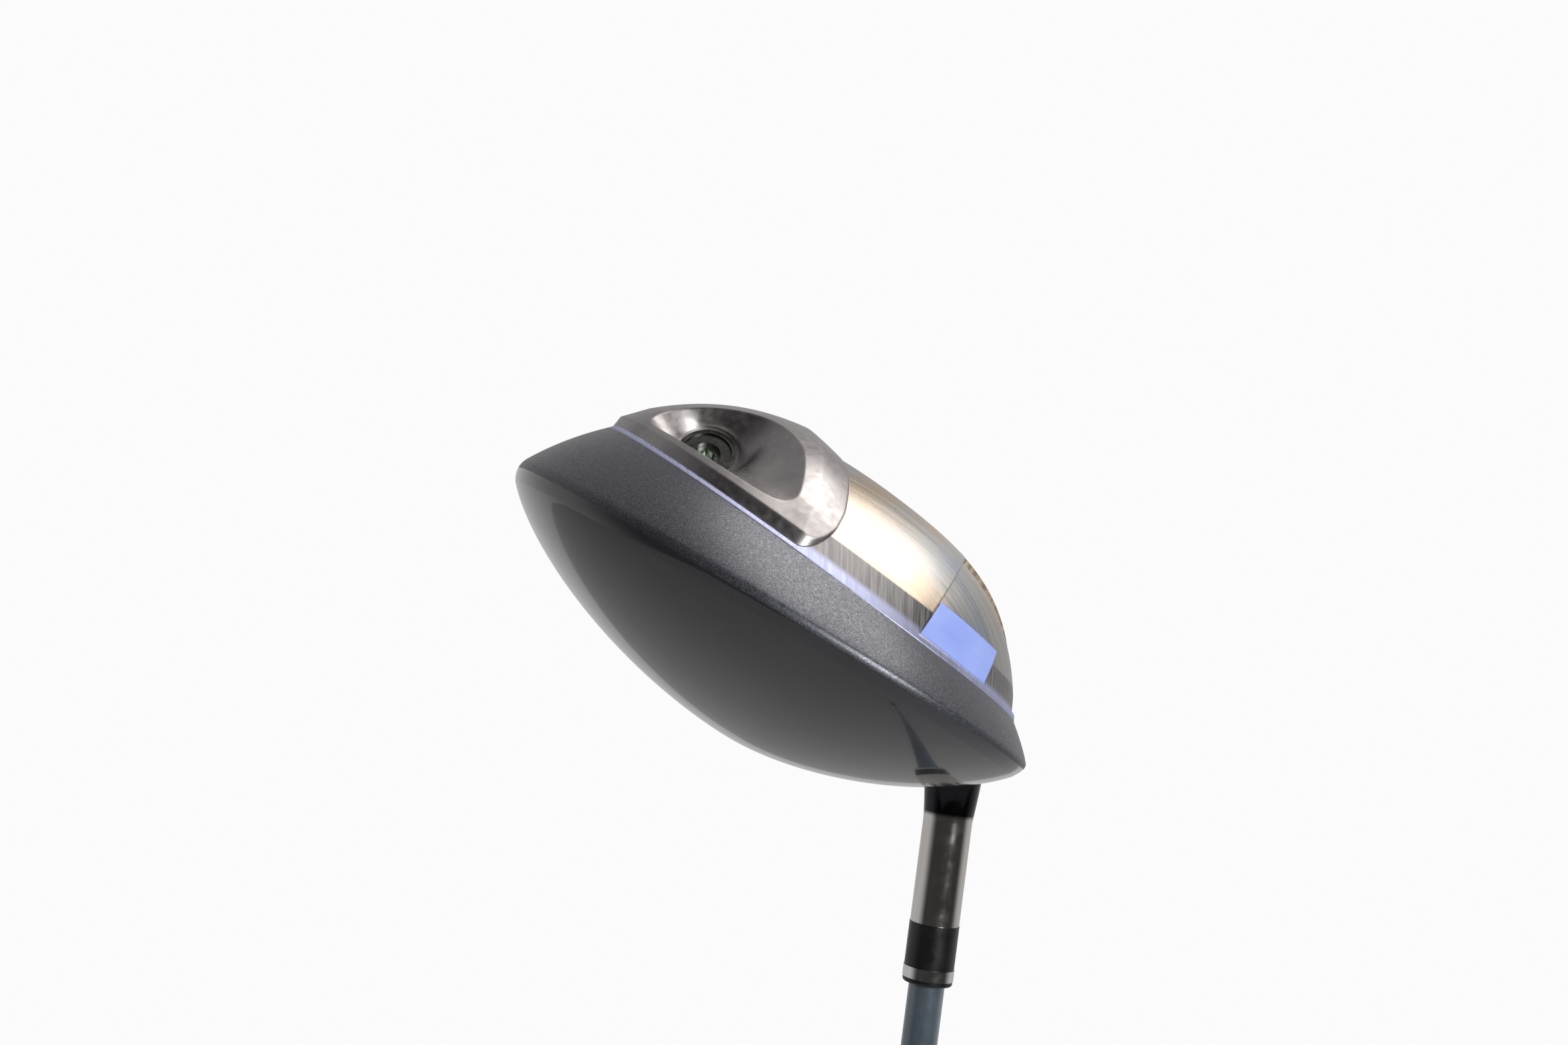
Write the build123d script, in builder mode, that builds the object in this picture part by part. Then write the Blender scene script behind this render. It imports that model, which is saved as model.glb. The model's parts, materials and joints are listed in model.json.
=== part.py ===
from build123d import *
from math import cos, exp, radians, sin, tau
import os

os.makedirs("parts", exist_ok=True)

# A golf driver, head up. The origin is the middle of the grip's butt end, +Z runs up the shaft
# to the head, +Y is the rear of the head and +X is mostly towards its toe. All sizes are in mm.

# ---- Driving dimensions: the club -------------------------------------------------------------
club_length = 1143.0        # butt to the ground, along the shaft's axis
lie_angle = 60.0            # shaft to ground, degrees
hosel_heelward = 31.2       # where the shaft's axis meets the ground, from the head's middle
hosel_forward = 26.3

# ---- Driving dimensions: the head's outer shape -----------------------------------------------
# Head coordinates: x to the toe, y to the rear, z down through the sole, ground at z = 0.
toe_reach = 72.0
heel_reach = 53.0
rear_reach = 64.5
front_reach = 65.0          # the outline before the face cuts it
outline_power = 2.17        # 2 is an ellipse, more is squarer
shoulder_bulge = 9.0        # the heel swells round the foot of the hosel
shoulder_width = 17.0
ridge_level = 34.7          # crown-to-skirt ridge, above the ground
ridge_toe_slope = 0.123     # the ridge climbs towards the toe
ridge_rear_slope = 0.025
skirt_level = 22.9          # skirt-to-sole edge, above the ground
skirt_toe_slope = 0.032
skirt_rear_slope = 0.059
skirt_taper = 0.86          # outline at the sole's edge, as a share of the ridge's
skirt_belly = 0.012         # how far the skirt bows out at mid-height, as a share
crown_rise = 26.5
crown_spread = 1.785        # powers of the crown's dome
crown_round = 0.753
bevel_share = 0.93          # the sole's bevelled edge, as a share of its outline
bevel_fall = 0.76           # and how much of the skirt's level is left above it
sole_power = 3.4            # flat in the middle, steep towards the bevel

crown_wall = 1.0
skirt_wall = 1.2
sole_wall = 2.0

# ---- Driving dimensions: the face -------------------------------------------------------------
loft_angle = 10.5
face_forward = 40.9         # leading edge at the ground
face_radius = 290.0         # bulge and roll
face_thickness = 3.0
face_middle_level = 28.0
groove_width = 0.7
groove_depth = 0.35
groove_pitch = 4.6
groove_inner = 15.0         # half of the plain middle
groove_length = 24.0
groove_rows = 6

# ---- Driving dimensions: the weight port ------------------------------------------------------
pod_rise = 2.6              # the port's housing stands this proud of the sole
pod_edge = 0.988            # its outline, as a share of the sole's edge
pod_corner = 4.0
pod_step = 0.6              # the pod's heel side starts this proud of the sole
pod_ramp = 0.3              # and climbs this steeply to its full height
scoop_wall = 1.2
port_toeward = 42.2         # middle of the port's mouth
port_rearward = 22.0
port_level = 18.3
port_azimuth = 24.0         # mouth turned towards the toe, from straight back
port_elevation = 25.0       # and down towards the sole
weight_radius = 5.0
weight_length = 8.6
weight_clearance = 0.08     # radial, weight in its cup
cup_wall = 0.9
seat_land = 0.4             # flat ring of the housing round the cup
weight_recess = 0.4         # the weight's face lies this deep in the cup

thread_radius = 2.5
thread_pitch = 0.8
thread_turns = 9            # turns of engagement
thread_clearance = 0.05
insert_wall = 2.0
screw_head_radius = 0.72 * weight_radius
screw_head_height = 3.2
head_clearance = 0.1
socket_radius = 1.55        # six-lobe socket: its core, the lobes' places and their size
lobe_radius = 0.48
lobe_circle = 1.62
socket_depth = 2.2
ring_height = 1.1
ring_width = 0.3 * weight_radius
ring_gap = 0.06             # between the retaining ring and the screw's head

# ---- Driving dimensions: the heel recess and its badge ----------------------------------------
recess_depth = 1.1
recess_edge = 0.985
badge_edge_outer = 0.975
badge_edge_inner = 0.875
badge_proud = 0.5           # the badge's thickness; the rest of the recess stays open
badge_gap = 0.3
badge_end = -27.0           # the badge stops here towards the heel, short of the recess

# ---- Driving dimensions: hosel, ferrule, shaft and grip ---------------------------------------
shaft_tip_radius = 4.25
bond_gap = 0.12             # glue line round the shaft's tip
hosel_wall = 1.43
hosel_radius = shaft_tip_radius + bond_gap + hosel_wall
hosel_top = 76.0            # places along the shaft's axis, from the ground
bore_bottom = 40.0
flare_top = 52.0
flare_middle = 44.0
flare_middle_radius = hosel_radius + 0.8
foot_level = 30.0           # the neck's foot, inside the heel, above the ground
foot_half_width = 9.0
foot_half_depth = 10.0
foot_overlap = 1.0          # the foot's edge stays this far inside the shoulder

shaft_butt_radius = 7.6
shaft_wall = 1.1
shaft_parallel = 75.0       # straight tip before the taper starts
shaft_butt_length = 200.0   # straight butt, measured from the grip's end
tip_plug_length = 8.0

ferrule_length = 14.0
ferrule_radius = hosel_radius + 0.1
ferrule_clearance = 0.05
ferrule_lip_round = 0.6
trim_ring_start = 10.2      # the ring's place and width, from the ferrule's foot
trim_ring_width = 2.6
trim_ring_depth = 0.8
trim_ring_proud = 0.12

grip_length = 268.0
grip_butt_radius = 13.4
grip_mouth_radius = 9.6
grip_cap_radius = 15.6
grip_cap_thickness = 5.0
grip_cap_height = 7.0
grip_cap_edge = 2.0
vent_radius = 1.25
tape_thickness = 0.25
tape_inset = 6.0            # bare shaft inside the grip's mouth

resin_radius = 13.0
resin_depth = 2.5
resin_toeward = 8.0
resin_rearward = -12.0

# ---- Frames -----------------------------------------------------------------------------------
lie = radians(lie_angle)
loft_tilt = radians(loft_angle)
TOE = Vector(sin(lie), 0, cos(lie))
REAR = Vector(0, 1, 0)
DOWN = Vector(-cos(lie), 0, sin(lie))
ground_on_axis = Vector(0, 0, club_length)
HEAD = Plane(
    origin=ground_on_axis + TOE * hosel_heelward + REAR * hosel_forward,
    x_dir=TOE,
    z_dir=DOWN,
)


def head_point(x, y, z):
    """A point given in head coordinates."""
    return HEAD.origin + TOE * x + REAR * y + DOWN * z


def head_direction(x, y, z):
    """A direction given in head coordinates."""
    return TOE * x + REAR * y + DOWN * z


def level_plane(z, toe_slope=0.0, rear_slope=0.0):
    """The plane z + toe_slope * x + rear_slope * y of the head."""
    return Plane(
        origin=head_point(0, 0, z),
        x_dir=head_direction(1, 0, toe_slope),
        z_dir=head_direction(-toe_slope, -rear_slope, 1),
    )


def on_plane(points, z, toe_slope, rear_slope):
    """Plan points dropped on to a tilted plane of the head, in that plane's coordinates."""
    plane = level_plane(z, toe_slope, rear_slope)
    places = [head_point(x, y, z + toe_slope * x + rear_slope * y) for x, y in points]
    return [plane.to_local_coords(place) for place in places]


# ---- Outlines ---------------------------------------------------------------------------------
outline_points = 48


def outline(share, wall=0.0):
    """Points of the head's plan outline: a four-radius superellipse with a heel shoulder."""
    points = []
    for step in range(outline_points):
        angle = tau * step / outline_points
        c, s = cos(angle), sin(angle)
        reach_x = (toe_reach if c > 0 else heel_reach) * share - wall
        reach_y = (rear_reach if s > 0 else front_reach) * share - wall
        x = reach_x * abs(c) ** (2 / outline_power) * (1 if c > 0 else -1)
        y = reach_y * abs(s) ** (2 / outline_power) * (1 if s > 0 else -1)
        if c < 0:
            nearness = exp(-(((y / share + hosel_forward) / shoulder_width) ** 2))
            x -= shoulder_bulge * share * nearness * (x / reach_x) ** 2
        points.append((x, y))
    return points


def oval(left, right, low, high, power):
    """Points of a superellipse with four different half-widths."""
    points = []
    for step in range(outline_points):
        angle = tau * step / outline_points
        c, s = cos(angle), sin(angle)
        x = (right if c > 0 else left) * abs(c) ** (2 / power) * (1 if c > 0 else -1)
        y = (high if s > 0 else low) * abs(s) ** (2 / power) * (1 if s > 0 else -1)
        points.append((x, y))
    return points


# ---- The head's three outer forms and the hollows inside them ---------------------------------
crown_steps = (1.0, 0.985, 0.95, 0.89, 0.8, 0.68, 0.54, 0.38, 0.22, 0.08)
sole_steps = (1.0, 0.96, 0.9, 0.81, 0.7, 0.56, 0.4, 0.2)


def crown_form(wall):
    """The dome above the ridge, drawn in by a wall's thickness."""
    with BuildPart() as form:
        for step in crown_steps:
            rise = (crown_rise - wall) * (1 - step**crown_spread) ** crown_round
            tilt = (-ridge_level - rise, -ridge_toe_slope, -ridge_rear_slope)
            with BuildSketch(level_plane(*tilt)):
                with BuildLine():
                    Spline(*on_plane(outline(step, wall * step), *tilt), periodic=True)
                make_face()
        loft()
    return form.part


def skirt_form(wall):
    """The band between the ridge and the sole's edge."""
    with BuildPart() as form:
        for part_way in (0.0, 0.5, 1.0):
            level = ridge_level + (skirt_level - ridge_level) * part_way
            toe_slope = ridge_toe_slope + (skirt_toe_slope - ridge_toe_slope) * part_way
            rear_slope = ridge_rear_slope + (skirt_rear_slope - ridge_rear_slope) * part_way
            share = 1 + (skirt_taper - 1) * part_way + 4 * skirt_belly * part_way * (1 - part_way)
            tilt = (-level, -toe_slope, -rear_slope)
            with BuildSketch(level_plane(*tilt)):
                with BuildLine():
                    Spline(*on_plane(outline(share, wall), *tilt), periodic=True)
                make_face()
        loft()
    return form.part


def sole_form(wall, rise=0.0, toe_ramp=0.0, rear_ramp=0.0):
    """The sole's bevel and bowl: drawn in by a wall, raised, or raised more along a ramp."""
    bevel_steps = ((1.0, 1.0), (bevel_share, bevel_fall))
    bowl_steps = [(bevel_share * step, bevel_fall * step**sole_power) for step in sole_steps]
    with BuildPart() as form:
        for steps in (bevel_steps, bowl_steps):
            for step, fall in steps:
                level = (skirt_level - wall) * fall + wall - rise
                toe_slope = toe_ramp - skirt_toe_slope * fall
                rear_slope = rear_ramp - skirt_rear_slope * fall
                tilt = (-level, toe_slope, rear_slope)
                with BuildSketch(level_plane(*tilt)):
                    with BuildLine():
                        Spline(*on_plane(outline(skirt_taper * step, wall * step), *tilt), periodic=True)
                    make_face()
            loft()
    return form.part


crown_outer = crown_form(0)
crown_hollow = crown_form(crown_wall)
skirt_outer = skirt_form(0)
skirt_hollow = skirt_form(skirt_wall)
sole_outer = sole_form(0)
sole_hollow = sole_form(sole_wall)

# ---- The face's two spheres -------------------------------------------------------------------
face_middle_y = -face_forward + face_middle_level * sin(loft_tilt) / cos(loft_tilt)
face_back = head_direction(0, cos(loft_tilt), sin(loft_tilt))
face_middle = head_point(0, face_middle_y, -face_middle_level)
face_plane = Plane(origin=face_middle, x_dir=TOE, z_dir=-face_back)
sphere_middle = face_middle + face_back * face_radius

face_ball = Sphere(face_radius, mode=Mode.PRIVATE).moved(Location(sphere_middle))
face_back_ball = Sphere(face_radius - face_thickness, mode=Mode.PRIVATE).moved(Location(sphere_middle))
groove_ball = Sphere(face_radius - groove_depth, mode=Mode.PRIVATE).moved(Location(sphere_middle))

# ---- The weight port's axis and its scoop -----------------------------------------------------
azimuth = radians(port_azimuth)
elevation = radians(port_elevation)
port_out = head_direction(sin(azimuth) * cos(elevation), cos(azimuth) * cos(elevation), sin(elevation))
PORT = Plane(
    origin=head_point(port_toeward, port_rearward, -port_level),
    x_dir=head_direction(cos(azimuth), -sin(azimuth), 0),
    z_dir=port_out,
)
cup_bore = weight_radius + weight_clearance
cup_radius = cup_bore + cup_wall
seat_radius = cup_radius + seat_land

# Each row is a section of the scoop: distance out of the seat, then how much further than the
# seat's radius it reaches to the heel, toe, crown and sole sides, and how square it is.
scoop_sections = (
    (0, 0.0, 0.0, 0.0, 0.0, 2.0),
    (4, 3.8, 6.5, 0.3, 4.6, 2.2),
    (8, 8.2, 13.0, 1.1, 10.6, 2.6),
    (11, 13.0, 17.0, 2.4, 13.6, 3.2),
    (14, 18.6, 21.0, 3.8, 16.6, 4.5),
    (17, 28.0, 25.0, 5.2, 19.0, 6.5),
    (22, 42.0, 30.0, 7.6, 23.0, 7.5),
    (30, 55.0, 40.0, 11.3, 30.0, 8.0),
)


def scoop_form(wall):
    """The scoop's hollow, or with a wall's thickness the form that encloses it."""
    with BuildPart() as form:
        for out, heel, toe, crown, sole, power in scoop_sections:
            place = PORT.offset(out if out else -wall)
            base = seat_radius + wall
            with BuildSketch(place):
                with BuildLine():
                    Spline(*oval(base + heel, base + toe, base + sole, base + crown, power), periodic=True)
                make_face()
        loft()
    return form.part


scoop_hollow = scoop_form(0)
scoop_outer = scoop_form(scoop_wall)

# The pod is where the sole is raised round the scoop, and the recess where it is sunk in the heel.
tall = 60.0
far = 90.0                  # well past the head's outline
pod_heel_foot = (13.0, far)
pod_heel_bend = (14.6, 46.0)
pod_heel_top = (22.0, 19.0)
pod_front_bend = (26.0, 2.0)
pod_front_end = (far, -20.0)
pod_corners = (pod_heel_foot, pod_heel_bend, pod_heel_top, pod_front_bend, pod_front_end, (far, far))
with BuildPart() as pod_column:
    with BuildSketch(level_plane(-tall / 2)):
        with BuildLine():
            Spline(*outline(skirt_taper * pod_edge), periodic=True)
        make_face()
        with BuildLine():
            Polyline(*pod_corners, close=True)
        make_face(mode=Mode.INTERSECT)
        fillet(vertices(), pod_corner)
    extrude(amount=tall)

skirt_edge_tilt = (-skirt_level, -skirt_toe_slope, -skirt_rear_slope)
with BuildPart() as raised_sole:
    add(sole_form(0, pod_rise))
    with BuildSketch(level_plane(*skirt_edge_tilt)):
        with BuildLine():
            Spline(*on_plane(outline(skirt_taper), *skirt_edge_tilt), periodic=True)
        make_face()
    extrude(amount=pod_rise, dir=DOWN)

# The ramp passes pod_step above the sole along the straight upper part of the pod's heel side.
heel_side_lean = (pod_heel_bend[0] - pod_heel_top[0]) / (pod_heel_bend[1] - pod_heel_top[1])
ramp_start = pod_heel_top[0] - heel_side_lean * pod_heel_top[1]
ramp_foot = pod_step - pod_ramp * ramp_start
ramp_rear = -pod_ramp * heel_side_lean
ramp_tilt = (-skirt_level + ramp_foot, pod_ramp - skirt_toe_slope, ramp_rear - skirt_rear_slope)
with BuildPart() as pod_ramp_form:
    add(sole_form(0, ramp_foot, pod_ramp, ramp_rear))
    with BuildSketch(level_plane(*ramp_tilt)):
        with BuildLine():
            Spline(*on_plane(outline(skirt_taper), *ramp_tilt), periodic=True)
        make_face()
    extrude(amount=tall, dir=-DOWN)

recess_floor = sole_form(0, -recess_depth)
recess_toe_front = (-13.5, 20.0)
recess_toe_rear = (-4.5, far)
recess_heel_front = (-far, -14.0)
with BuildPart() as recess_cut:
    with BuildSketch(level_plane(-tall / 2)):
        with BuildLine():
            Spline(*outline(skirt_taper * recess_edge), periodic=True)
        make_face()
        with BuildLine():
            Polyline(recess_toe_front, recess_toe_rear, (-far, far), recess_heel_front, close=True)
        make_face(mode=Mode.INTERSECT)
    extrude(amount=tall)
    add(recess_floor, mode=Mode.SUBTRACT)

# ---- The neck that carries the hosel ----------------------------------------------------------
hosel_share = 1 - (hosel_forward / front_reach) ** outline_power
heel_reach_there = heel_reach * hosel_share ** (1 / outline_power)
shoulder_reach = heel_reach_there + shoulder_bulge * hosel_share ** (2 / outline_power)
foot_middle = foot_half_width + foot_overlap - shoulder_reach
neck_shapes = ((flare_middle, flare_middle_radius), (flare_top, hosel_radius))
with BuildPart() as neck_solid:
    with BuildSketch(level_plane(-foot_level)):
        with Locations((foot_middle, -hosel_forward)):
            Ellipse(foot_half_width, foot_half_depth)
    for along, radius in neck_shapes:
        with BuildSketch(Plane.XY.offset(club_length - along)):
            Circle(radius)
    loft()
    with BuildSketch(Plane.XY.offset(club_length - hosel_top)):
        Circle(hosel_radius)
    extrude(amount=hosel_top - flare_top)

# ---- The head's pieces ------------------------------------------------------------------------
with BuildPart() as crown_shell:
    add(crown_outer)
    add(crown_hollow, mode=Mode.SUBTRACT)
    add(neck_solid.part, mode=Mode.SUBTRACT)
    add(face_back_ball, mode=Mode.INTERSECT)
crown_shell.part.label = "crown_shell"
export_step(crown_shell.part, "parts/crown_shell.step")

with BuildPart() as body_skirt:
    add(skirt_outer)
    add(skirt_hollow, mode=Mode.SUBTRACT)
    add(neck_solid.part, mode=Mode.SUBTRACT)
    add(face_back_ball, mode=Mode.INTERSECT)
body_skirt.part.label = "body_skirt"
export_step(body_skirt.part, "parts/body_skirt.step")

with BuildPart() as sole_plate:
    add(sole_outer)
    add(sole_hollow, mode=Mode.SUBTRACT)
    add(pod_column.part, mode=Mode.SUBTRACT)
    add(scoop_outer, mode=Mode.SUBTRACT)
    add(recess_cut.part, mode=Mode.SUBTRACT)
    add(face_back_ball, mode=Mode.INTERSECT)
sole_plate.part.label = "sole_plate"
export_step(sole_plate.part, "parts/sole_plate.step")

with BuildPart() as grooves:
    with BuildSketch(face_plane):
        for side in (-1, 1):
            with Locations((side * (groove_inner + groove_length / 2), 0)):
                with GridLocations(0, groove_pitch, 1, groove_rows):
                    Rectangle(groove_length, groove_width)
    extrude(amount=2 * face_thickness, both=True)
    add(groove_ball, mode=Mode.SUBTRACT)

with BuildPart() as face_plate:
    add(crown_outer)
    add(skirt_outer)
    add(sole_outer)
    add(face_ball, mode=Mode.INTERSECT)
    add(face_back_ball, mode=Mode.SUBTRACT)
    add(neck_solid.part, mode=Mode.SUBTRACT)
    add(grooves.part, mode=Mode.SUBTRACT)
face_plate.part.label = "face_plate"
export_step(face_plate.part, "parts/face_plate.step")

with BuildPart() as hosel_neck:
    add(neck_solid.part)
    with BuildSketch(Plane.XY.offset(club_length - hosel_top)):
        Circle(shaft_tip_radius + bond_gap)
    extrude(amount=hosel_top - bore_bottom, mode=Mode.SUBTRACT)
hosel_neck.part.label = "hosel_neck"
export_step(hosel_neck.part, "parts/hosel_neck.step")

with BuildPart() as weight_port_housing:
    add(raised_sole.part)
    add(pod_column.part, mode=Mode.INTERSECT)
    add(pod_ramp_form.part, mode=Mode.INTERSECT)
    add(sole_hollow, mode=Mode.SUBTRACT)
    add((scoop_outer & raised_sole.part).solids())
    add(scoop_hollow, mode=Mode.SUBTRACT)
    with BuildSketch(PORT.offset(-2 * scoop_wall)):
        Circle(cup_radius)
    extrude(amount=3 * scoop_wall, mode=Mode.SUBTRACT)
weight_port_housing.part.label = "weight_port_housing"
export_step(weight_port_housing.part, "parts/weight_port_housing.step")

# ---- The weight port's inner pieces, along its axis --------------------------------------------
weight_back = -weight_recess - weight_length
cup_back = weight_back - cup_wall
engagement = thread_turns * thread_pitch
with BuildPart() as weight_port_cup:
    with BuildSketch(PORT.offset(cup_back)):
        Circle(cup_radius)
    extrude(amount=-cup_back)
    with BuildSketch(PORT.offset(weight_back)):
        Circle(cup_bore)
    extrude(amount=-weight_back, mode=Mode.SUBTRACT)
    with BuildSketch(PORT.offset(cup_back)):
        Circle(thread_radius + 2 * head_clearance)
    extrude(amount=cup_wall, mode=Mode.SUBTRACT)
weight_port_cup.part.label = "weight_port_cup"
export_step(weight_port_cup.part, "parts/weight_port_cup.step")

with BuildPart() as port_thread_insert:
    with BuildSketch(PORT.offset(cup_back - engagement - thread_pitch)):
        Circle(thread_radius + thread_clearance + insert_wall)
        Circle(thread_radius + thread_clearance, mode=Mode.SUBTRACT)
    extrude(amount=engagement + thread_pitch)
port_thread_insert.part.label = "port_thread_insert"
export_step(port_thread_insert.part, "parts/port_thread_insert.step")

ring_bottom = -weight_recess - ring_height
ring_hole = screw_head_radius - ring_width / 2
head_top = ring_bottom - ring_gap
head_bottom = head_top - screw_head_height
with BuildPart() as weight_body:
    with BuildSketch(PORT.offset(weight_back)):
        Circle(weight_radius)
    extrude(amount=weight_length)
    with BuildSketch(PORT.offset(weight_back)):
        Circle(thread_radius + head_clearance)
    extrude(amount=weight_length, mode=Mode.SUBTRACT)
    with BuildSketch(PORT.offset(head_bottom)):
        Circle(screw_head_radius + head_clearance)
    extrude(amount=-head_bottom, mode=Mode.SUBTRACT)
    with BuildSketch(PORT.offset(ring_bottom)):
        Circle(ring_hole + ring_width)
    extrude(amount=ring_height, mode=Mode.SUBTRACT)
weight_body.part.label = "weight_body"
export_step(weight_body.part, "parts/weight_body.step")

with BuildPart() as weight_retaining_ring:
    with BuildSketch(PORT.offset(ring_bottom)):
        Circle(ring_hole + ring_width)
        Circle(ring_hole, mode=Mode.SUBTRACT)
    extrude(amount=ring_height)
weight_retaining_ring.part.label = "weight_retaining_ring"
export_step(weight_retaining_ring.part, "parts/weight_retaining_ring.step")

with BuildPart() as weight_screw:
    with BuildSketch(PORT.offset(head_bottom)):
        Circle(screw_head_radius)
    extrude(amount=screw_head_height)
    with BuildSketch(PORT.offset(cup_back - engagement)):
        Circle(thread_radius)
    extrude(amount=head_bottom - cup_back + engagement)
    with BuildSketch(PORT.offset(head_top - socket_depth)):
        Circle(socket_radius)
        with PolarLocations(lobe_circle, 6):
            Circle(lobe_radius)
    extrude(amount=socket_depth, mode=Mode.SUBTRACT)
weight_screw.part.label = "weight_screw"
export_step(weight_screw.part, "parts/weight_screw.step")

# ---- Inlay and damping --------------------------------------------------------------------------
badge_front = (recess_toe_front[0] - badge_gap, recess_toe_front[1])
badge_rear = (recess_toe_rear[0] - badge_gap, recess_toe_rear[1])
with BuildPart() as heel_badge:
    with BuildSketch(level_plane(-tall / 2)):
        with BuildLine():
            Spline(*outline(skirt_taper * badge_edge_outer), periodic=True)
        make_face()
        with BuildLine():
            Spline(*outline(skirt_taper * badge_edge_inner), periodic=True)
        make_face(mode=Mode.SUBTRACT)
        with BuildLine():
            Polyline(badge_front, badge_rear, (badge_end, far), (badge_end, badge_front[1]), close=True)
        make_face(mode=Mode.INTERSECT)
    extrude(amount=tall)
    add(sole_form(0, badge_proud - recess_depth), mode=Mode.INTERSECT)
    add(recess_floor, mode=Mode.SUBTRACT)
heel_badge.part.label = "heel_badge"
export_step(heel_badge.part, "parts/heel_badge.step")

with BuildPart() as damping_resin:
    with BuildSketch(level_plane(-sole_wall - resin_depth)):
        with Locations((resin_toeward, resin_rearward)):
            Circle(resin_radius)
    extrude(amount=tall / 2)
    add(sole_hollow, mode=Mode.INTERSECT)
damping_resin.part.label = "damping_resin"
export_step(damping_resin.part, "parts/damping_resin.step")

# ---- Ferrule, shaft and grip: turned about the shaft's axis ------------------------------------
shaft_foot = grip_cap_thickness
shaft_tip = club_length - bore_bottom
taper_end = shaft_tip - shaft_parallel
with BuildPart() as shaft:
    with BuildSketch(Plane.XZ):
        with BuildLine():
            Polyline(
                (shaft_butt_radius - shaft_wall, shaft_foot),
                (shaft_butt_radius, shaft_foot),
                (shaft_butt_radius, shaft_butt_length),
                (shaft_tip_radius, taper_end),
                (shaft_tip_radius, shaft_tip),
                (shaft_tip_radius - shaft_wall, shaft_tip),
                (shaft_tip_radius - shaft_wall, taper_end),
                (shaft_butt_radius - shaft_wall, shaft_butt_length),
                close=True,
            )
        make_face()
    revolve(axis=Axis.Z)
shaft.part.label = "shaft"
export_step(shaft.part, "parts/shaft.step")

with BuildPart() as shaft_bond:
    with BuildSketch(Plane.XY.offset(club_length - hosel_top)):
        Circle(shaft_tip_radius + bond_gap)
        Circle(shaft_tip_radius, mode=Mode.SUBTRACT)
    extrude(amount=hosel_top - bore_bottom)
shaft_bond.part.label = "shaft_bond"
export_step(shaft_bond.part, "parts/shaft_bond.step")

with BuildPart() as tip_plug:
    with BuildSketch(Plane.XY.offset(shaft_tip - tip_plug_length)):
        Circle(shaft_tip_radius - shaft_wall)
    extrude(amount=tip_plug_length)
tip_plug.part.label = "tip_plug"
export_step(tip_plug.part, "parts/tip_plug.step")

ferrule_top = club_length - hosel_top
trim_ring_top = ferrule_top - trim_ring_start
with BuildPart() as ferrule:
    with BuildSketch(Plane.XY.offset(ferrule_top - ferrule_length)):
        Circle(ferrule_radius)
        Circle(shaft_tip_radius + ferrule_clearance, mode=Mode.SUBTRACT)
    extrude(amount=ferrule_length)
    lip = edges().filter_by(GeomType.CIRCLE).group_by(Axis.Z)[0].sort_by(SortBy.RADIUS)[-1]
    fillet(lip, ferrule_lip_round)
    with BuildSketch(Plane.XY.offset(trim_ring_top - trim_ring_width)):
        Circle(ferrule_radius + trim_ring_proud)
        Circle(ferrule_radius - trim_ring_depth, mode=Mode.SUBTRACT)
    extrude(amount=trim_ring_width, mode=Mode.SUBTRACT)
ferrule.part.label = "ferrule"
export_step(ferrule.part, "parts/ferrule.step")

with BuildPart() as ferrule_ring:
    with BuildSketch(Plane.XY.offset(trim_ring_top - trim_ring_width)):
        Circle(ferrule_radius + trim_ring_proud)
        Circle(ferrule_radius - trim_ring_depth, mode=Mode.SUBTRACT)
    extrude(amount=trim_ring_width)
ferrule_ring.part.label = "ferrule_ring"
export_step(ferrule_ring.part, "parts/ferrule_ring.step")


def shaft_radius(z):
    """The shaft's outer radius at a height above the butt."""
    share = (z - shaft_butt_length) / (taper_end - shaft_butt_length)
    return shaft_butt_radius + (shaft_tip_radius - shaft_butt_radius) * min(max(share, 0), 1)


tape_end = grip_length - tape_inset
with BuildPart() as grip_tape:
    with BuildSketch(Plane.XZ):
        with BuildLine():
            Polyline(
                (shaft_butt_radius, shaft_foot),
                (shaft_butt_radius + tape_thickness, shaft_foot),
                (shaft_butt_radius + tape_thickness, shaft_butt_length),
                (shaft_radius(tape_end) + tape_thickness, tape_end),
                (shaft_radius(tape_end), tape_end),
                (shaft_butt_radius, shaft_butt_length),
                close=True,
            )
        make_face()
    revolve(axis=Axis.Z)
grip_tape.part.label = "grip_tape"
export_step(grip_tape.part, "parts/grip_tape.step")

with BuildPart() as grip:
    with BuildSketch(Plane.XZ):
        with BuildLine():
            Polyline(
                (vent_radius, 0),
                (grip_cap_radius, 0),
                (grip_cap_radius, grip_cap_height),
                (grip_butt_radius, grip_cap_height + grip_cap_edge),
                (grip_mouth_radius, grip_length),
                (shaft_radius(grip_length) + tape_thickness, grip_length),
                (shaft_butt_radius + tape_thickness, shaft_butt_length),
                (shaft_butt_radius + tape_thickness, shaft_foot),
                (vent_radius, shaft_foot),
                close=True,
            )
        make_face()
        fillet(vertices().group_by(Axis.X)[-1], grip_cap_edge)
    revolve(axis=Axis.Z)
grip.part.label = "grip"
export_step(grip.part, "parts/grip.step")
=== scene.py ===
import json
from math import cos, exp, pi, radians, sin, tan, tau

import bmesh
import bpy
from mathutils import Matrix, Vector


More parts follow.
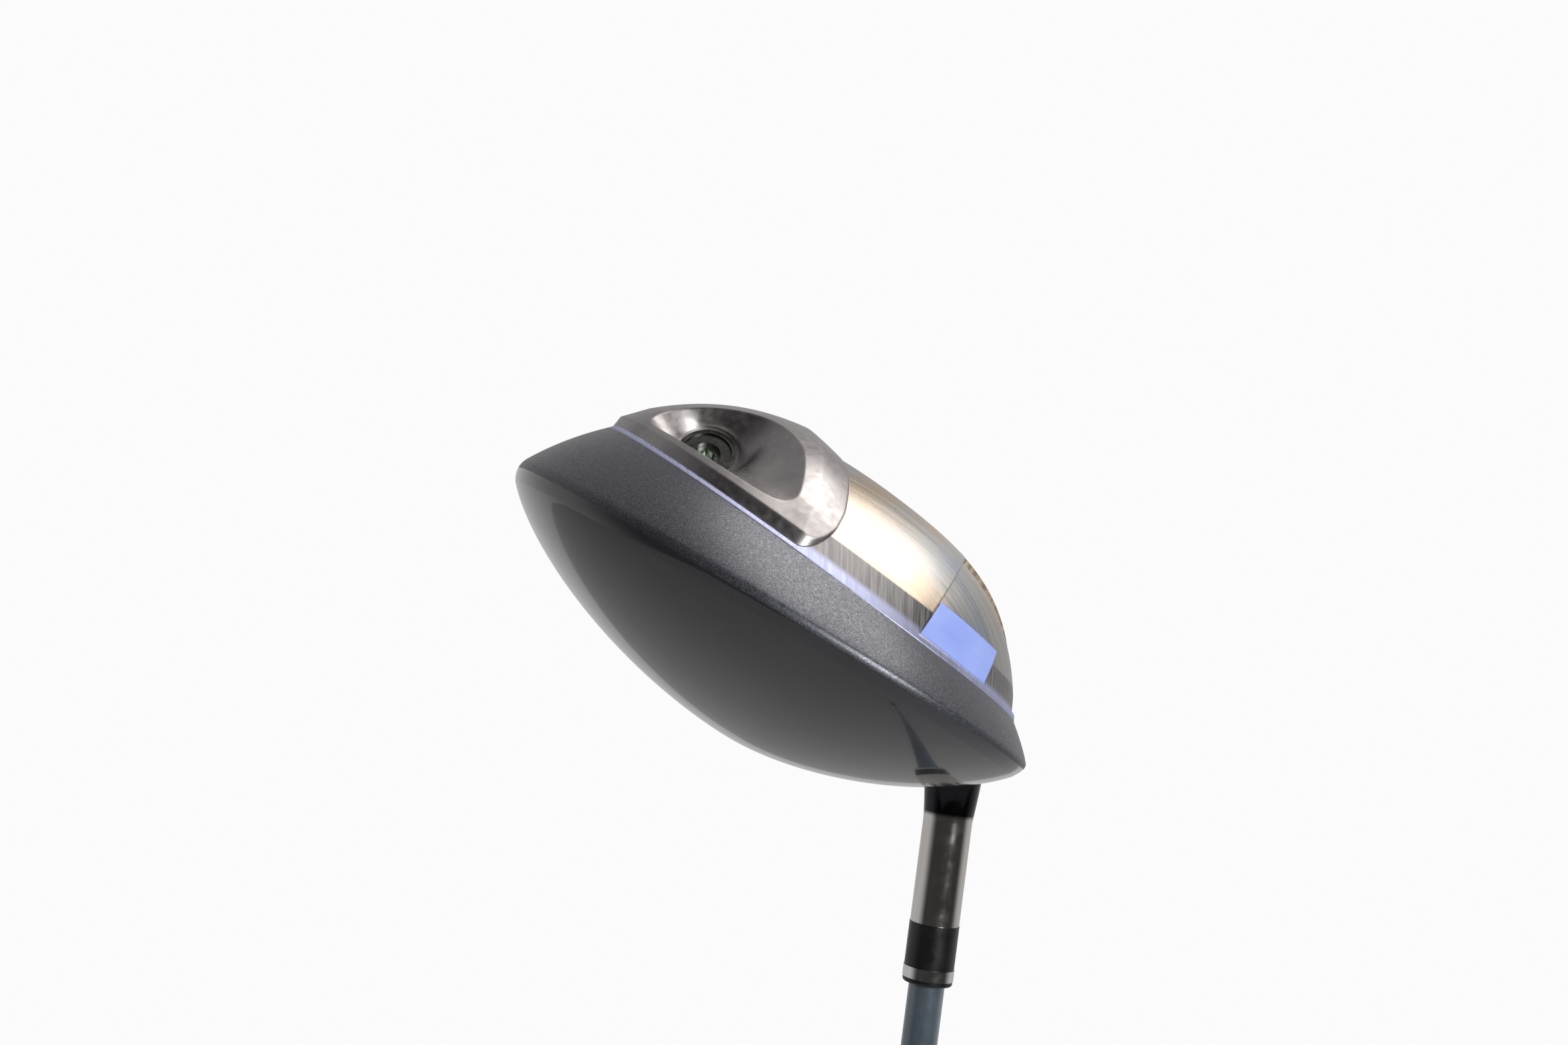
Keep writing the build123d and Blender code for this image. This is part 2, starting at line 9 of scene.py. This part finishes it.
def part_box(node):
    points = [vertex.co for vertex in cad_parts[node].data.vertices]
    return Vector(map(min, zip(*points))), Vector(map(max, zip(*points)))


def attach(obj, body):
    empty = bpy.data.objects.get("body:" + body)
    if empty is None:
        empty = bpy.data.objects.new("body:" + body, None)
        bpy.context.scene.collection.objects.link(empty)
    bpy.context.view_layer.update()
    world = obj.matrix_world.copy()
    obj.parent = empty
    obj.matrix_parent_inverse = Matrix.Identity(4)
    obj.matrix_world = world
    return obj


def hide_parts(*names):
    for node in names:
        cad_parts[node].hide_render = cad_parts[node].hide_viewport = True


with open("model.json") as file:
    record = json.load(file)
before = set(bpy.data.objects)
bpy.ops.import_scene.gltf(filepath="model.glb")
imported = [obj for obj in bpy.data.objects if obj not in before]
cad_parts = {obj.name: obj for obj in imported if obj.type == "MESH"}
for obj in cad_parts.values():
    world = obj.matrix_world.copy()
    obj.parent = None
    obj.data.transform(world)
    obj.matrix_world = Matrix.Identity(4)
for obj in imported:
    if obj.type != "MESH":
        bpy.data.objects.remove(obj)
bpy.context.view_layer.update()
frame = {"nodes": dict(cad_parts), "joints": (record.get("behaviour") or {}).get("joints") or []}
nodes = frame["nodes"]
joints = {joint["name"]: joint for joint in frame["joints"]}
MM = 0.001

# ---- The head's own frame: x to the toe, y to the rear, z down through the sole ----------------
LIE = radians(60)
TOE = Vector((sin(LIE), 0, cos(LIE)))
REAR = Vector((0, 1, 0))
DOWN = Vector((-cos(LIE), 0, sin(LIE)))
PORT_IN_HEAD = (42.2, 22.0, -18.3)
PORT_PLACE = Vector(joints["screw_turn"]["pos_m"])


def head_direction(x, y, z):
    return TOE * x + REAR * y + DOWN * z


HEAD_ORIGIN = PORT_PLACE - head_direction(*PORT_IN_HEAD) * MM


def head_point(x, y, z):
    """A point of the row frame, in metres, from head coordinates in millimetres."""
    return HEAD_ORIGIN + head_direction(x, y, z) * MM


# ---- The head's shape, as part.py states it, in millimetres ------------------------------------
TOE_REACH, HEEL_REACH, REAR_REACH, FRONT_REACH = 72.0, 53.0, 64.5, 65.0
OUTLINE_POWER = 2.17
SHOULDER_BULGE, SHOULDER_WIDTH, HOSEL_FORWARD = 9.0, 17.0, 26.3
RIDGE_LEVEL, RIDGE_TOE_SLOPE, RIDGE_REAR_SLOPE = 34.7, 0.123, 0.025
SKIRT_LEVEL, SKIRT_TOE_SLOPE, SKIRT_REAR_SLOPE = 22.9, 0.032, 0.059
SKIRT_TAPER, SKIRT_BELLY = 0.86, 0.012
CROWN_RISE, CROWN_SPREAD, CROWN_ROUND = 26.5, 1.785, 0.753
LOFT, FACE_FORWARD, FACE_RADIUS, FACE_THICKNESS = radians(10.5), 40.9, 290.0, 3.0
FACE_MIDDLE_LEVEL = 28.0
BARE_HOSEL = 25.0           # the hosel's polished length, from its top to its painted foot

FACE_MIDDLE = Vector((0, -FACE_FORWARD + FACE_MIDDLE_LEVEL * tan(LOFT), -FACE_MIDDLE_LEVEL))
FACE_BACK = Vector((0, cos(LOFT), sin(LOFT)))
BALL_MIDDLE = FACE_MIDDLE + FACE_BACK * FACE_RADIUS


def outline(angle, share=1.0):
    """The head's plan outline at an angle round its middle."""
    c, s = cos(angle), sin(angle)
    reach_x = (TOE_REACH if c > 0 else HEEL_REACH) * share
    reach_y = (REAR_REACH if s > 0 else FRONT_REACH) * share
    x = reach_x * abs(c) ** (2 / OUTLINE_POWER) * (1 if c > 0 else -1)
    y = reach_y * abs(s) ** (2 / OUTLINE_POWER) * (1 if s > 0 else -1)
    if c < 0 and share > 0:
        nearness = exp(-(((y / share + HOSEL_FORWARD) / SHOULDER_WIDTH) ** 2))
        x -= SHOULDER_BULGE * share * nearness * (x / reach_x) ** 2
    return x, y


def crown_at(angle, share):
    """A point of the crown: share is 1 at the ridge and 0 at its top."""
    x, y = outline(angle, share)
    rise = CROWN_RISE * max(0.0, 1 - share**CROWN_SPREAD) ** CROWN_ROUND
    return Vector((x, y, -RIDGE_LEVEL - RIDGE_TOE_SLOPE * x - RIDGE_REAR_SLOPE * y - rise))


def skirt_at(angle, down):
    """A point of the skirt: down is 0 at the ridge and 1 at the sole's edge."""
    level = RIDGE_LEVEL + (SKIRT_LEVEL - RIDGE_LEVEL) * down
    toe_slope = RIDGE_TOE_SLOPE + (SKIRT_TOE_SLOPE - RIDGE_TOE_SLOPE) * down
    rear_slope = RIDGE_REAR_SLOPE + (SKIRT_REAR_SLOPE - RIDGE_REAR_SLOPE) * down
    x, y = outline(angle, 1 + (SKIRT_TAPER - 1) * down + 4 * SKIRT_BELLY * down * (1 - down))
    return Vector((x, y, -level - toe_slope * x - rear_slope * y))


def behind_face(point, depth=FACE_THICKNESS):
    """Positive behind the face's sphere, moved back by depth."""
    return (FACE_RADIUS - depth) - (point - BALL_MIDDLE).length


def crossing(place, low, high, depth=FACE_THICKNESS):
    """Where between low and high the curve place(t) passes through the face's sphere."""
    for _ in range(30):
        middle = (low + high) / 2
        if behind_face(place(middle), depth) > 0:
            low = middle
        else:
            high = middle
    return (low + high) / 2


# ---- Small helpers for meshes -------------------------------------------------------------------
def new_piece(name, vertices, faces, material, body="club"):
    """A mesh piece in the row frame, from points in metres."""
    mesh = bpy.data.meshes.new(name)
    mesh.from_pydata([tuple(v) for v in vertices], [], faces)
    mesh.update()
    for polygon in mesh.polygons:
        polygon.use_smooth = True
    piece = bpy.data.objects.new(name, mesh)
    bpy.context.scene.collection.objects.link(piece)
    mesh.materials.append(material)
    if body:
        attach(piece, body)
    return piece


def grid_faces(rows, columns, closed=False):
    """Quads between rows of points; closed joins each row's end to its start."""
    faces = []
    for row in range(rows - 1):
        for column in range(columns if closed else columns - 1):
            right = (column + 1) % columns
            here, there = row * columns, (row + 1) * columns
            faces.append((here + column, here + right, there + right, there + column))
    return faces


# ---- Node materials -------------------------------------------------------------------------------
class Nodes:
    """A material's node tree with a few short ways to add and join nodes."""

    def __init__(self, name, **settings):
        self.material = bpy.data.materials.new(name)
        self.material.use_nodes = True
        self.tree = self.material.node_tree
        self.shader = self.tree.nodes["Principled BSDF"]
        for socket, value in settings.items():
            self.shader.inputs[socket.replace("_", " ")].default_value = value
        self.coords = self.add("ShaderNodeTexCoord").outputs["Object"]

    def add(self, kind, **settings):
        node = self.tree.nodes.new(kind)
        for key, value in settings.items():
            setattr(node, key, value)
        return node

    def link(self, source, target):
        self.tree.links.new(source, target)

    def mapped(self, scale, turn=(0, 0, 0)):
        """Object coordinates, scaled and turned."""
        node = self.add("ShaderNodeMapping")
        node.inputs["Scale"].default_value = scale
        node.inputs["Rotation"].default_value = turn
        self.link(self.coords, node.inputs["Vector"])
        return node.outputs["Vector"]

    def noise(self, scale, detail=3.0, vector=None):
        node = self.add("ShaderNodeTexNoise")
        node.inputs["Scale"].default_value = scale
        node.inputs["Detail"].default_value = detail
        self.link(vector or self.coords, node.inputs["Vector"])
        return node.outputs["Fac"]

    def ramp(self, source, stops, smooth=False):
        """stops: (position, colour or grey)."""
        node = self.add("ShaderNodeValToRGB")
        node.color_ramp.interpolation = "EASE" if smooth else "LINEAR"
        elements = node.color_ramp.elements
        while len(elements) < len(stops):
            elements.new(0.5)
        for element, (position, colour) in zip(elements, stops):
            element.position = position
            element.color = (*colour, 1) if isinstance(colour, tuple) else (colour, colour, colour, 1)
        self.link(source, node.inputs["Fac"])
        return node.outputs["Color"]

    def mix(self, factor, first, second, blend="MIX"):
        node = self.add("ShaderNodeMix", data_type="RGBA", blend_type=blend)
        sockets = (node.inputs["Factor"], node.inputs[6], node.inputs[7])
        for socket, value in zip(sockets, (factor, first, second)):
            if isinstance(value, (int, float)):
                socket.default_value = value
            elif isinstance(value, tuple):
                socket.default_value = (*value, 1)
            else:
                self.link(value, socket)
        return node.outputs[2]

    def math(self, operation, first, second=0.0):
        node = self.add("ShaderNodeMath", operation=operation)
        for socket, value in zip(node.inputs, (first, second)):
            if isinstance(value, (int, float)):
                socket.default_value = value
            else:
                self.link(value, socket)
        return node.outputs[0]

    def along(self, direction, origin):
        """Distance in millimetres from origin along a direction of the row frame."""
        node = self.add("ShaderNodeVectorMath", operation="DOT_PRODUCT")
        node.inputs[1].default_value = direction
        self.link(self.coords, node.inputs[0])
        shifted = self.math("SUBTRACT", node.outputs["Value"], Vector(direction).dot(Vector(origin)))
        return self.math("MULTIPLY", shifted, 1000.0)

    def colour(self, source):
        self.link(source, self.shader.inputs["Base Color"])

    def roughness(self, source):
        self.link(source, self.shader.inputs["Roughness"])

    def bump(self, height, distance, strength=1.0, edge=0.0):
        node = self.add("ShaderNodeBump")
        node.inputs["Strength"].default_value = strength
        node.inputs["Distance"].default_value = distance
        self.link(height, node.inputs["Height"])
        if edge:
            rounded = self.add("ShaderNodeBevel", samples=6)
            rounded.inputs["Radius"].default_value = edge
            self.link(rounded.outputs["Normal"], node.inputs["Normal"])
        self.link(node.outputs["Normal"], self.shader.inputs["Normal"])

    def in_head(self):
        """Distances towards the toe, the rear and the ground from the head's origin, in millimetres."""
        return [self.along(direction, HEAD_ORIGIN) for direction in (TOE, REAR, DOWN)]


def crown_paint():
    m = Nodes("crown_paint", Metallic=0.35, Roughness=0.16, Coat_Weight=1.0, Coat_Roughness=0.03)
    flakes = m.ramp(m.noise(5200, 1), [(0.45, (0.030, 0.031, 0.036)), (0.75, (0.075, 0.078, 0.09))])
    tint = m.ramp(m.noise(18, 3), [(0.3, (0.028, 0.027, 0.028)), (0.7, (0.045, 0.047, 0.056))])
    m.colour(m.mix(0.4, tint, flakes))
    m.roughness(m.ramp(m.noise(60, 5), [(0.4, 0.13), (0.7, 0.22)]))
    m.bump(m.noise(900, 2), 0.00002, 0.12)
    return m.material


def skirt_paint():
    m = Nodes("skirt_paint", Metallic=0.75, Roughness=0.4, Coat_Weight=0.35, Coat_Roughness=0.3)
    flakes = m.ramp(m.noise(3800, 1), [(0.42, (0.035, 0.036, 0.044)), (0.68, (0.17, 0.175, 0.2))])
    tint = m.ramp(m.noise(25, 3), [(0.3, (0.045, 0.046, 0.054)), (0.7, (0.085, 0.088, 0.105))])
    m.colour(m.mix(0.5, tint, flakes))
    m.roughness(m.ramp(m.noise(1500, 2), [(0.35, 0.36), (0.7, 0.52)]))
    m.bump(m.noise(3800, 1), 0.00003, 0.25)
    return m.material


def titanium():
    """Bright brushed metal with heat tints; the bevel coarser and scratched, and darkened with painted shade;
    a painted lilac reflection at the paint's edge.
    """
    m = Nodes("sole_titanium", Metallic=1.0, Roughness=0.34, Anisotropic=0.5)
    heat_tints = [
        (0.3, (0.36, 0.40, 0.48)),
        (0.45, (0.47, 0.46, 0.45)),
        (0.58, (0.56, 0.45, 0.34)),
        (0.75, (0.50, 0.47, 0.40)),
    ]
    heat = m.ramp(m.noise(26, 3), heat_tints, True)
    toe, rear, ground = m.in_head()
    edge = m.math("ADD", m.math("MULTIPLY", toe, SKIRT_TOE_SLOPE), m.math("MULTIPLY", rear, SKIRT_REAR_SLOPE))
    fall = m.math("DIVIDE", m.math("MULTIPLY", ground, -1.0), m.math("ADD", edge, SKIRT_LEVEL))
    bevel = m.ramp(fall, [(0.75, 0.0), (0.765, 1.0)])
    # A painted lilac reflection along the titanium next to the paint's edge.
    lilac_reflection_band = m.ramp(fall, [(0.9, 0.0), (0.94, 1.0)])
    streaks = m.noise(1.0, 4, m.mapped(scale=(40, 2600, 40)))
    scratches = m.noise(1.0, 5, m.mapped(scale=(2200, 120, 90), turn=(0.3, 0.2, 0.5)))
    bright = m.mix(0.3, heat, m.ramp(streaks, [(0.35, 0.35), (0.65, 0.85)]), "MULTIPLY")
    # The bevel's scratched metal, coloured darker with painted shade.
    dark = m.ramp(scratches, [(0.35, (0.16, 0.155, 0.16)), (0.7, (0.34, 0.33, 0.33))])
    bevel_scratches_and_shade = m.mix(bevel, bright, dark)
    # The lilac colour here is the painted reflection.
    m.colour(m.mix(lilac_reflection_band, bevel_scratches_and_shade, (0.42, 0.44, 0.62)))
    bowl_rough = m.ramp(streaks, [(0.3, 0.28), (0.7, 0.45)])
    bevel_rough = m.ramp(scratches, [(0.3, 0.34), (0.7, 0.5)])
    m.roughness(m.mix(bevel, bowl_rough, bevel_rough))
    m.bump(m.mix(bevel, streaks, scratches), 0.00004, 0.35, 0.0004)
    return m.material


def blasted_metal(name, light, dark, rough, edge=0.0):
    m = Nodes(name, Metallic=1.0, Roughness=rough)
    m.colour(m.ramp(m.noise(90, 4), [(0.35, dark), (0.7, light)]))
    m.roughness(m.ramp(m.noise(700, 3), [(0.3, rough - 0.06), (0.7, rough + 0.08)]))
    m.bump(m.noise(4000, 2), 0.00002, 0.35, edge)
    return m.material


def hosel_metal():
    m = Nodes("hosel_metal", Metallic=1.0, Roughness=0.12)
    paint_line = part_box("hosel_neck")[0].z + BARE_HOSEL * MM
    past_line = m.math("MULTIPLY", m.along((0, 0, 1), (0, 0, paint_line)), 0.5)
    painted = m.ramp(past_line, [(0.0, 0.0), (0.5, 1.0)])
    grain = m.noise(1.0, 3, m.mapped(scale=(900, 900, 60)))
    metal = m.ramp(grain, [(0.3, (0.66, 0.62, 0.58)), (0.7, (0.78, 0.75, 0.72))])
    m.colour(m.mix(painted, metal, (0.035, 0.034, 0.038)))
    m.roughness(m.ramp(m.noise(300, 3), [(0.35, 0.08), (0.75, 0.2)]))
    m.bump(m.noise(1500, 2), 0.00001, 0.1)
    return m.material


def badge_enamel():
    """Periwinkle enamel, with painted shade turning it a deeper blue towards the middle of the sole, along
    the recess's step.
    """
    m = Nodes("badge_enamel", Roughness=0.4, Coat_Weight=0.3, Coat_Roughness=0.2)
    toe, rear, ground = m.in_head()
    # depth is painted shade: a deeper blue along the recess's step, towards the middle of the sole.
    depth = m.ramp(m.math("DIVIDE", ground, -SKIRT_LEVEL), [(0.42, 1.0), (0.62, 0.0)], True)
    pale = m.ramp(m.noise(70, 3), [(0.3, (0.20, 0.27, 0.62)), (0.7, (0.27, 0.34, 0.70))])
    m.colour(m.mix(depth, pale, (0.06, 0.10, 0.46)))
    m.roughness(m.ramp(m.noise(600, 3), [(0.3, 0.34), (0.7, 0.48)]))
    m.bump(m.noise(2500, 2), 0.00002, 0.2, 0.0003)
    return m.material


def gloss(name, light, dark, rough, metallic=0.0, coat=0.5):
    m = Nodes(name, Metallic=metallic, Roughness=rough, Coat_Weight=coat, Coat_Roughness=0.05)
    m.colour(m.ramp(m.noise(120, 4), [(0.35, dark), (0.7, light)]))
    m.roughness(m.ramp(m.noise(500, 3), [(0.3, max(0.03, rough - 0.05)), (0.7, rough + 0.06)]))
    m.bump(m.noise(2000, 2), 0.00001, 0.15)
    return m.material


def rubber():
    """Black rubber moulded with two families of crossing spiral grooves and fine dots, the grooves darkened
    with painted shade.
    """
    m = Nodes("grip_rubber", Roughness=0.7)
    parts = m.add("ShaderNodeSeparateXYZ")
    m.link(m.coords, parts.inputs[0])
    angle = m.math("ARCTAN2", parts.outputs["Y"], parts.outputs["X"])
    height = m.math("MULTIPLY", parts.outputs["Z"], 620.0)
    waves = []
    for turns in (7.0, -7.0):
        phase = m.math("ADD", m.math("MULTIPLY", angle, turns), height)
        waves.append(m.math("ABSOLUTE", m.math("SINE", phase)))
    lands = m.math("MINIMUM", waves[0], waves[1])
    grooves = m.ramp(lands, [(0.06, 0.0), (0.22, 1.0)])
    rubber_tone = m.ramp(m.noise(200, 4), [(0.35, (0.014, 0.014, 0.015)), (0.7, (0.03, 0.03, 0.032))])
    # Painted shade darkens the grooves.
    m.colour(m.mix(grooves, (0.006, 0.006, 0.007), rubber_tone))
    m.roughness(m.ramp(m.noise(900, 3), [(0.3, 0.6), (0.7, 0.82)]))
    m.bump(m.mix(0.15, grooves, m.noise(2600, 3)), 0.0004, 0.6)
    return m.material


LOOKS = {
    "crown": crown_paint(),
    "skirt": skirt_paint(),
    "titanium": titanium(),
    "face": blasted_metal("face_titanium", (0.50, 0.50, 0.50), (0.36, 0.36, 0.37), 0.36),
    "hosel": hosel_metal(),
    "port": blasted_metal("port_metal", (0.36, 0.34, 0.335), (0.25, 0.235, 0.24), 0.38, 0.0007),
    "weight": blasted_metal("weight_metal", (0.22, 0.22, 0.20), (0.13, 0.13, 0.125), 0.3),
    "screw": blasted_metal("screw_metal", (0.55, 0.58, 0.53), (0.35, 0.38, 0.34), 0.25),
    "badge": badge_enamel(),
    "ferrule": gloss("ferrule_plastic", (0.010, 0.010, 0.011), (0.005, 0.005, 0.006), 0.3, 0.0, 0.0),
    "trim": gloss("trim_metal", (0.85, 0.85, 0.82), (0.7, 0.7, 0.68), 0.1, 1.0, 0.0),
    "shaft": gloss("shaft_paint", (0.16, 0.20, 0.24), (0.11, 0.145, 0.175), 0.25, 0.4, 0.9),
    "grip": rubber(),
    "tape": blasted_metal("tape", (0.75, 0.73, 0.66), (0.65, 0.62, 0.55), 0.8),
    "filler": blasted_metal("filler", (0.6, 0.55, 0.4), (0.5, 0.45, 0.3), 0.7),
}
NODE_LOOKS = {
    "crown_shell": "crown",
    "body_skirt": "skirt",
    "sole_plate": "titanium",
    "face_plate": "face",
    "hosel_neck": "hosel",
    "weight_port_housing": "port",
    "weight_port_cup": "weight",
    "port_thread_insert": "weight",
    "weight_body": "weight",
    "weight_retaining_ring": "weight",
    "weight_screw": "screw",
    "heel_badge": "badge",
    "damping_resin": "filler",
    "ferrule": "ferrule",
    "ferrule_ring": "trim",
    "shaft": "shaft",
    "shaft_bond": "filler",
    "tip_plug": "filler",
    "grip_tape": "tape",
    "grip": "grip",
}

# ---- The painted crown and skirt, with the ridge between them rounded --------------------------------
RIDGE_SHARE = 0.972         # where the crown's dome gives way to the rounded ridge
RIDGE_END = 0.14            # where the rounded ridge gives way to the skirt
ROUND_ROWS, SKIRT_ROWS, CROWN_ROWS, AROUND = 8, 16, 60, 360
SEAM = 0.5                  # the crown ends and the skirt starts here along the rounding
SKIRT_WALL, CROWN_WALL = 1.0 * MM, 0.9 * MM


def ridge_round(angle, t):
    """A quadratic curve from the crown to the skirt, tangent to both, about the ridge."""
    start, corner, end = crown_at(angle, RIDGE_SHARE), crown_at(angle, 1.0), skirt_at(angle, RIDGE_END)
    return start * (1 - t) ** 2 + corner * (2 * t * (1 - t)) + end * t * t


def face_angles(curve):
    """The two angles, by the toe and by the heel, where a curve round the head meets the face."""
    toe = crossing(curve, 0.0, -pi / 2)
    heel = crossing(curve, pi, 3 * pi / 2)
    return toe, heel


def to_row(points):
    return [head_point(*point) for point in points]


def build_skirt():
    curves = []
    for row in range(ROUND_ROWS):
        curves.append(lambda angle, t=SEAM + (1 - SEAM) * row / ROUND_ROWS: ridge_round(angle, t))
    span = 1 - RIDGE_END
    for row in range(SKIRT_ROWS + 1):
        curves.append(lambda angle, t=RIDGE_END + span * row / SKIRT_ROWS: skirt_at(angle, t))
    points = []
    for curve in curves:
        toe, heel = face_angles(curve)
        points += [curve(toe + (heel - toe) * step / AROUND) for step in range(AROUND + 1)]
    faces = grid_faces(len(curves), AROUND + 1)
    piece = new_piece("skirt_painted", to_row(points), faces, LOOKS["skirt"])
    thicken(piece, SKIRT_WALL)
    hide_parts("body_skirt")


def build_crown():
    seam = lambda angle: ridge_round(angle, SEAM)
    toe, heel = face_angles(seam)
    rear = [toe + (heel - toe) * step / AROUND for step in range(AROUND)]
    front_steps = AROUND // 3
    front = [heel + (toe + tau - heel) * step / front_steps for step in range(front_steps)]
    angles = rear + front
    reaches = [RIDGE_SHARE] * len(rear)
    for angle in front:
        reaches.append(crossing(lambda share, angle=angle: crown_at(angle, share), 0.0, RIDGE_SHARE))
    points = []
    for row in range(1, CROWN_ROWS + 1):
        share = sin(pi / 2 * row / CROWN_ROWS)
        points += [crown_at(angle, reach * share) for angle, reach in zip(angles, reaches)]
    faces = grid_faces(CROWN_ROWS, len(angles), closed=True)
    top = len(points)
    points.append(crown_at(0, 0))
    faces += [(top, (step + 1) % len(angles), step) for step in range(len(angles))]
    edge = (CROWN_ROWS - 1) * len(angles)
    rows = [list(range(edge, edge + len(rear) + 1))]
    for row in range(1, ROUND_ROWS + 1):
        t = SEAM * row / ROUND_ROWS
        curve = lambda angle, t=t: ridge_round(angle, t)
        low, high = face_angles(curve)
        rows.append(list(range(len(points), len(points) + len(rear) + 1)))
        points += [curve(low + (high - low) * step / len(rear)) for step in range(len(rear) + 1)]
    for above, below in zip(rows, rows[1:]):
        for step in range(len(rear)):
            faces.append((above[step], above[step + 1], below[step + 1], below[step]))
    piece = new_piece("crown_painted", to_row(points), faces, LOOKS["crown"])
    thicken(piece, CROWN_WALL)
    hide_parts("crown_shell")


def thicken(piece, thickness):
    """Turns an open skin into a closed shell, inwards, with sharp rims."""
    skin = bmesh.new()
    skin.from_mesh(piece.data)
    bmesh.ops.recalc_face_normals(skin, faces=skin.faces)
    skin.normal_update()
    outside, rim = list(skin.faces), [edge for edge in skin.edges if edge.is_boundary]
    inner = {vert: skin.verts.new(vert.co - vert.normal * thickness) for vert in list(skin.verts)}
    for face in outside:
        skin.faces.new([inner[vert] for vert in reversed(face.verts)]).smooth = True
    for edge in rim:
        first, second = edge.verts
        wall = skin.faces.new((second, first, inner[first], inner[second]))
        for side in wall.edges:
            side.smooth = False
    bmesh.ops.recalc_face_normals(skin, faces=skin.faces)
    skin.to_mesh(piece.data)
    skin.free()


build_skirt()
build_crown()

for node, look in NODE_LOOKS.items():
    mesh = nodes[node].data
    mesh.materials.clear()
    mesh.materials.append(LOOKS[look])

# ---- Stage, light and camera ------------------------------------------------------------------------
# The studio is pale all round, but for the dark room behind the camera, on the +Y side.
DARK_FROM, DARK_TO, DARK_ROOM, BRIGHT_ROOM = -0.3, 0.45, 0.04, 0.5
BACKDROP = 0.97
FLOOR_SIZE = 6.0
FLOOR_GLOW = 0.5            # the lit floor, as the camera sees it
floor_mesh = bpy.data.meshes.new("floor")
half = FLOOR_SIZE / 2
floor_corners = [(-half, -half, 0), (half, -half, 0), (half, half, 0), (-half, half, 0)]
floor_mesh.from_pydata(floor_corners, [], [(0, 1, 2, 3)])
floor = bpy.data.objects.new("floor", floor_mesh)
bpy.context.scene.collection.objects.link(floor)
floor_look = Nodes("floor_pale", Roughness=0.7)
floor_tones = [(0.3, (0.90, 0.90, 0.91)), (0.7, (0.93, 0.93, 0.93))]
floor_look.colour(floor_look.ramp(floor_look.noise(3, 2), floor_tones))
floor_seen = floor_look.add("ShaderNodeLightPath").outputs["Is Camera Ray"]
floor_glow = floor_look.math("MULTIPLY", floor_seen, FLOOR_GLOW)
floor_look.link(floor_glow, floor_look.shader.inputs["Emission Strength"])
floor_look.shader.inputs["Emission Color"].default_value = (1.0, 1.0, 1.0, 1.0)
floor_mesh.materials.append(floor_look.material)

world = bpy.data.worlds.new("studio")
bpy.context.scene.world = world
world.use_nodes = True
sky_nodes, sky_links = world.node_tree.nodes, world.node_tree.links
direction = sky_nodes.new("ShaderNodeTexCoord").outputs["Generated"]
parts_of = sky_nodes.new("ShaderNodeSeparateXYZ")
sky_links.new(direction, parts_of.inputs[0])
room = sky_nodes.new("ShaderNodeMapRange")
room.interpolation_type = "SMOOTHSTEP"
room.inputs["From Min"].default_value = DARK_FROM
room.inputs["From Max"].default_value = DARK_TO
room.inputs["To Min"].default_value = BRIGHT_ROOM
room.inputs["To Max"].default_value = DARK_ROOM
sky_links.new(parts_of.outputs["Y"], room.inputs["Value"])
seen = sky_nodes.new("ShaderNodeLightPath").outputs["Is Camera Ray"]
strength = sky_nodes.new("ShaderNodeMix")
sky_links.new(seen, strength.inputs["Factor"])
sky_links.new(room.outputs["Result"], strength.inputs["A"])
strength.inputs["B"].default_value = BACKDROP
background = sky_nodes["Background"]
background.inputs["Color"].default_value = (1.0, 0.995, 1.0, 1)
sky_links.new(strength.outputs["Result"], background.inputs["Strength"])
bpy.context.scene.view_settings.view_transform = "Standard"


def area_light(name, place, aim, size, watts, colour=(1, 1, 1)):
    light = bpy.data.lights.new(name, "AREA")
    light.shape = "DISK"
    light.size = size
    light.energy = watts
    light.color = colour
    lamp = bpy.data.objects.new(name, light)
    bpy.context.scene.collection.objects.link(lamp)
    lamp.location = place
    lamp.rotation_euler = (aim - place).to_track_quat("-Z", "Y").to_euler()
    return lamp


head_middle = head_point(5, 5, -30)
KEY_PLACE, KEY_SIZE, KEY_WATTS = head_point(-125, 400, 105), 0.22, 1.7
SOLE_LIGHT_PLACE, SOLE_LIGHT_SIZE, SOLE_LIGHT_WATTS = head_point(60, 60, 700), 0.6, 4.0
WARM = (1.0, 0.97, 0.93)
area_light("key", KEY_PLACE, head_middle, KEY_SIZE, KEY_WATTS)
area_light("sole_side", SOLE_LIGHT_PLACE, head_middle, SOLE_LIGHT_SIZE, SOLE_LIGHT_WATTS, WARM)

CAMERA_PLACE = head_point(46.8, 343.6, -62.0)
CAMERA_AIM = head_point(19.4, 3.6, -17.4)
CAMERA_ROLL = radians(37.8)
SENSOR_WIDTH, LENS_TO_SENSOR = 36.0, 1.0121121972
camera_data = bpy.data.cameras.new("camera")
camera_data.sensor_width = SENSOR_WIDTH
camera_data.lens = SENSOR_WIDTH * LENS_TO_SENSOR
camera_data.clip_start = 0.01
camera = bpy.data.objects.new("camera", camera_data)
bpy.context.scene.collection.objects.link(camera)
forward = (CAMERA_AIM - CAMERA_PLACE).normalized()
level_right = forward.cross(DOWN).normalized()
level_up = level_right.cross(forward)
right = level_right * cos(CAMERA_ROLL) + level_up * sin(CAMERA_ROLL)
up = right.cross(forward)
turn = Matrix((right, up, -forward)).transposed()
camera.matrix_world = Matrix.Translation(CAMERA_PLACE) @ turn.to_4x4()
bpy.context.scene.camera = camera
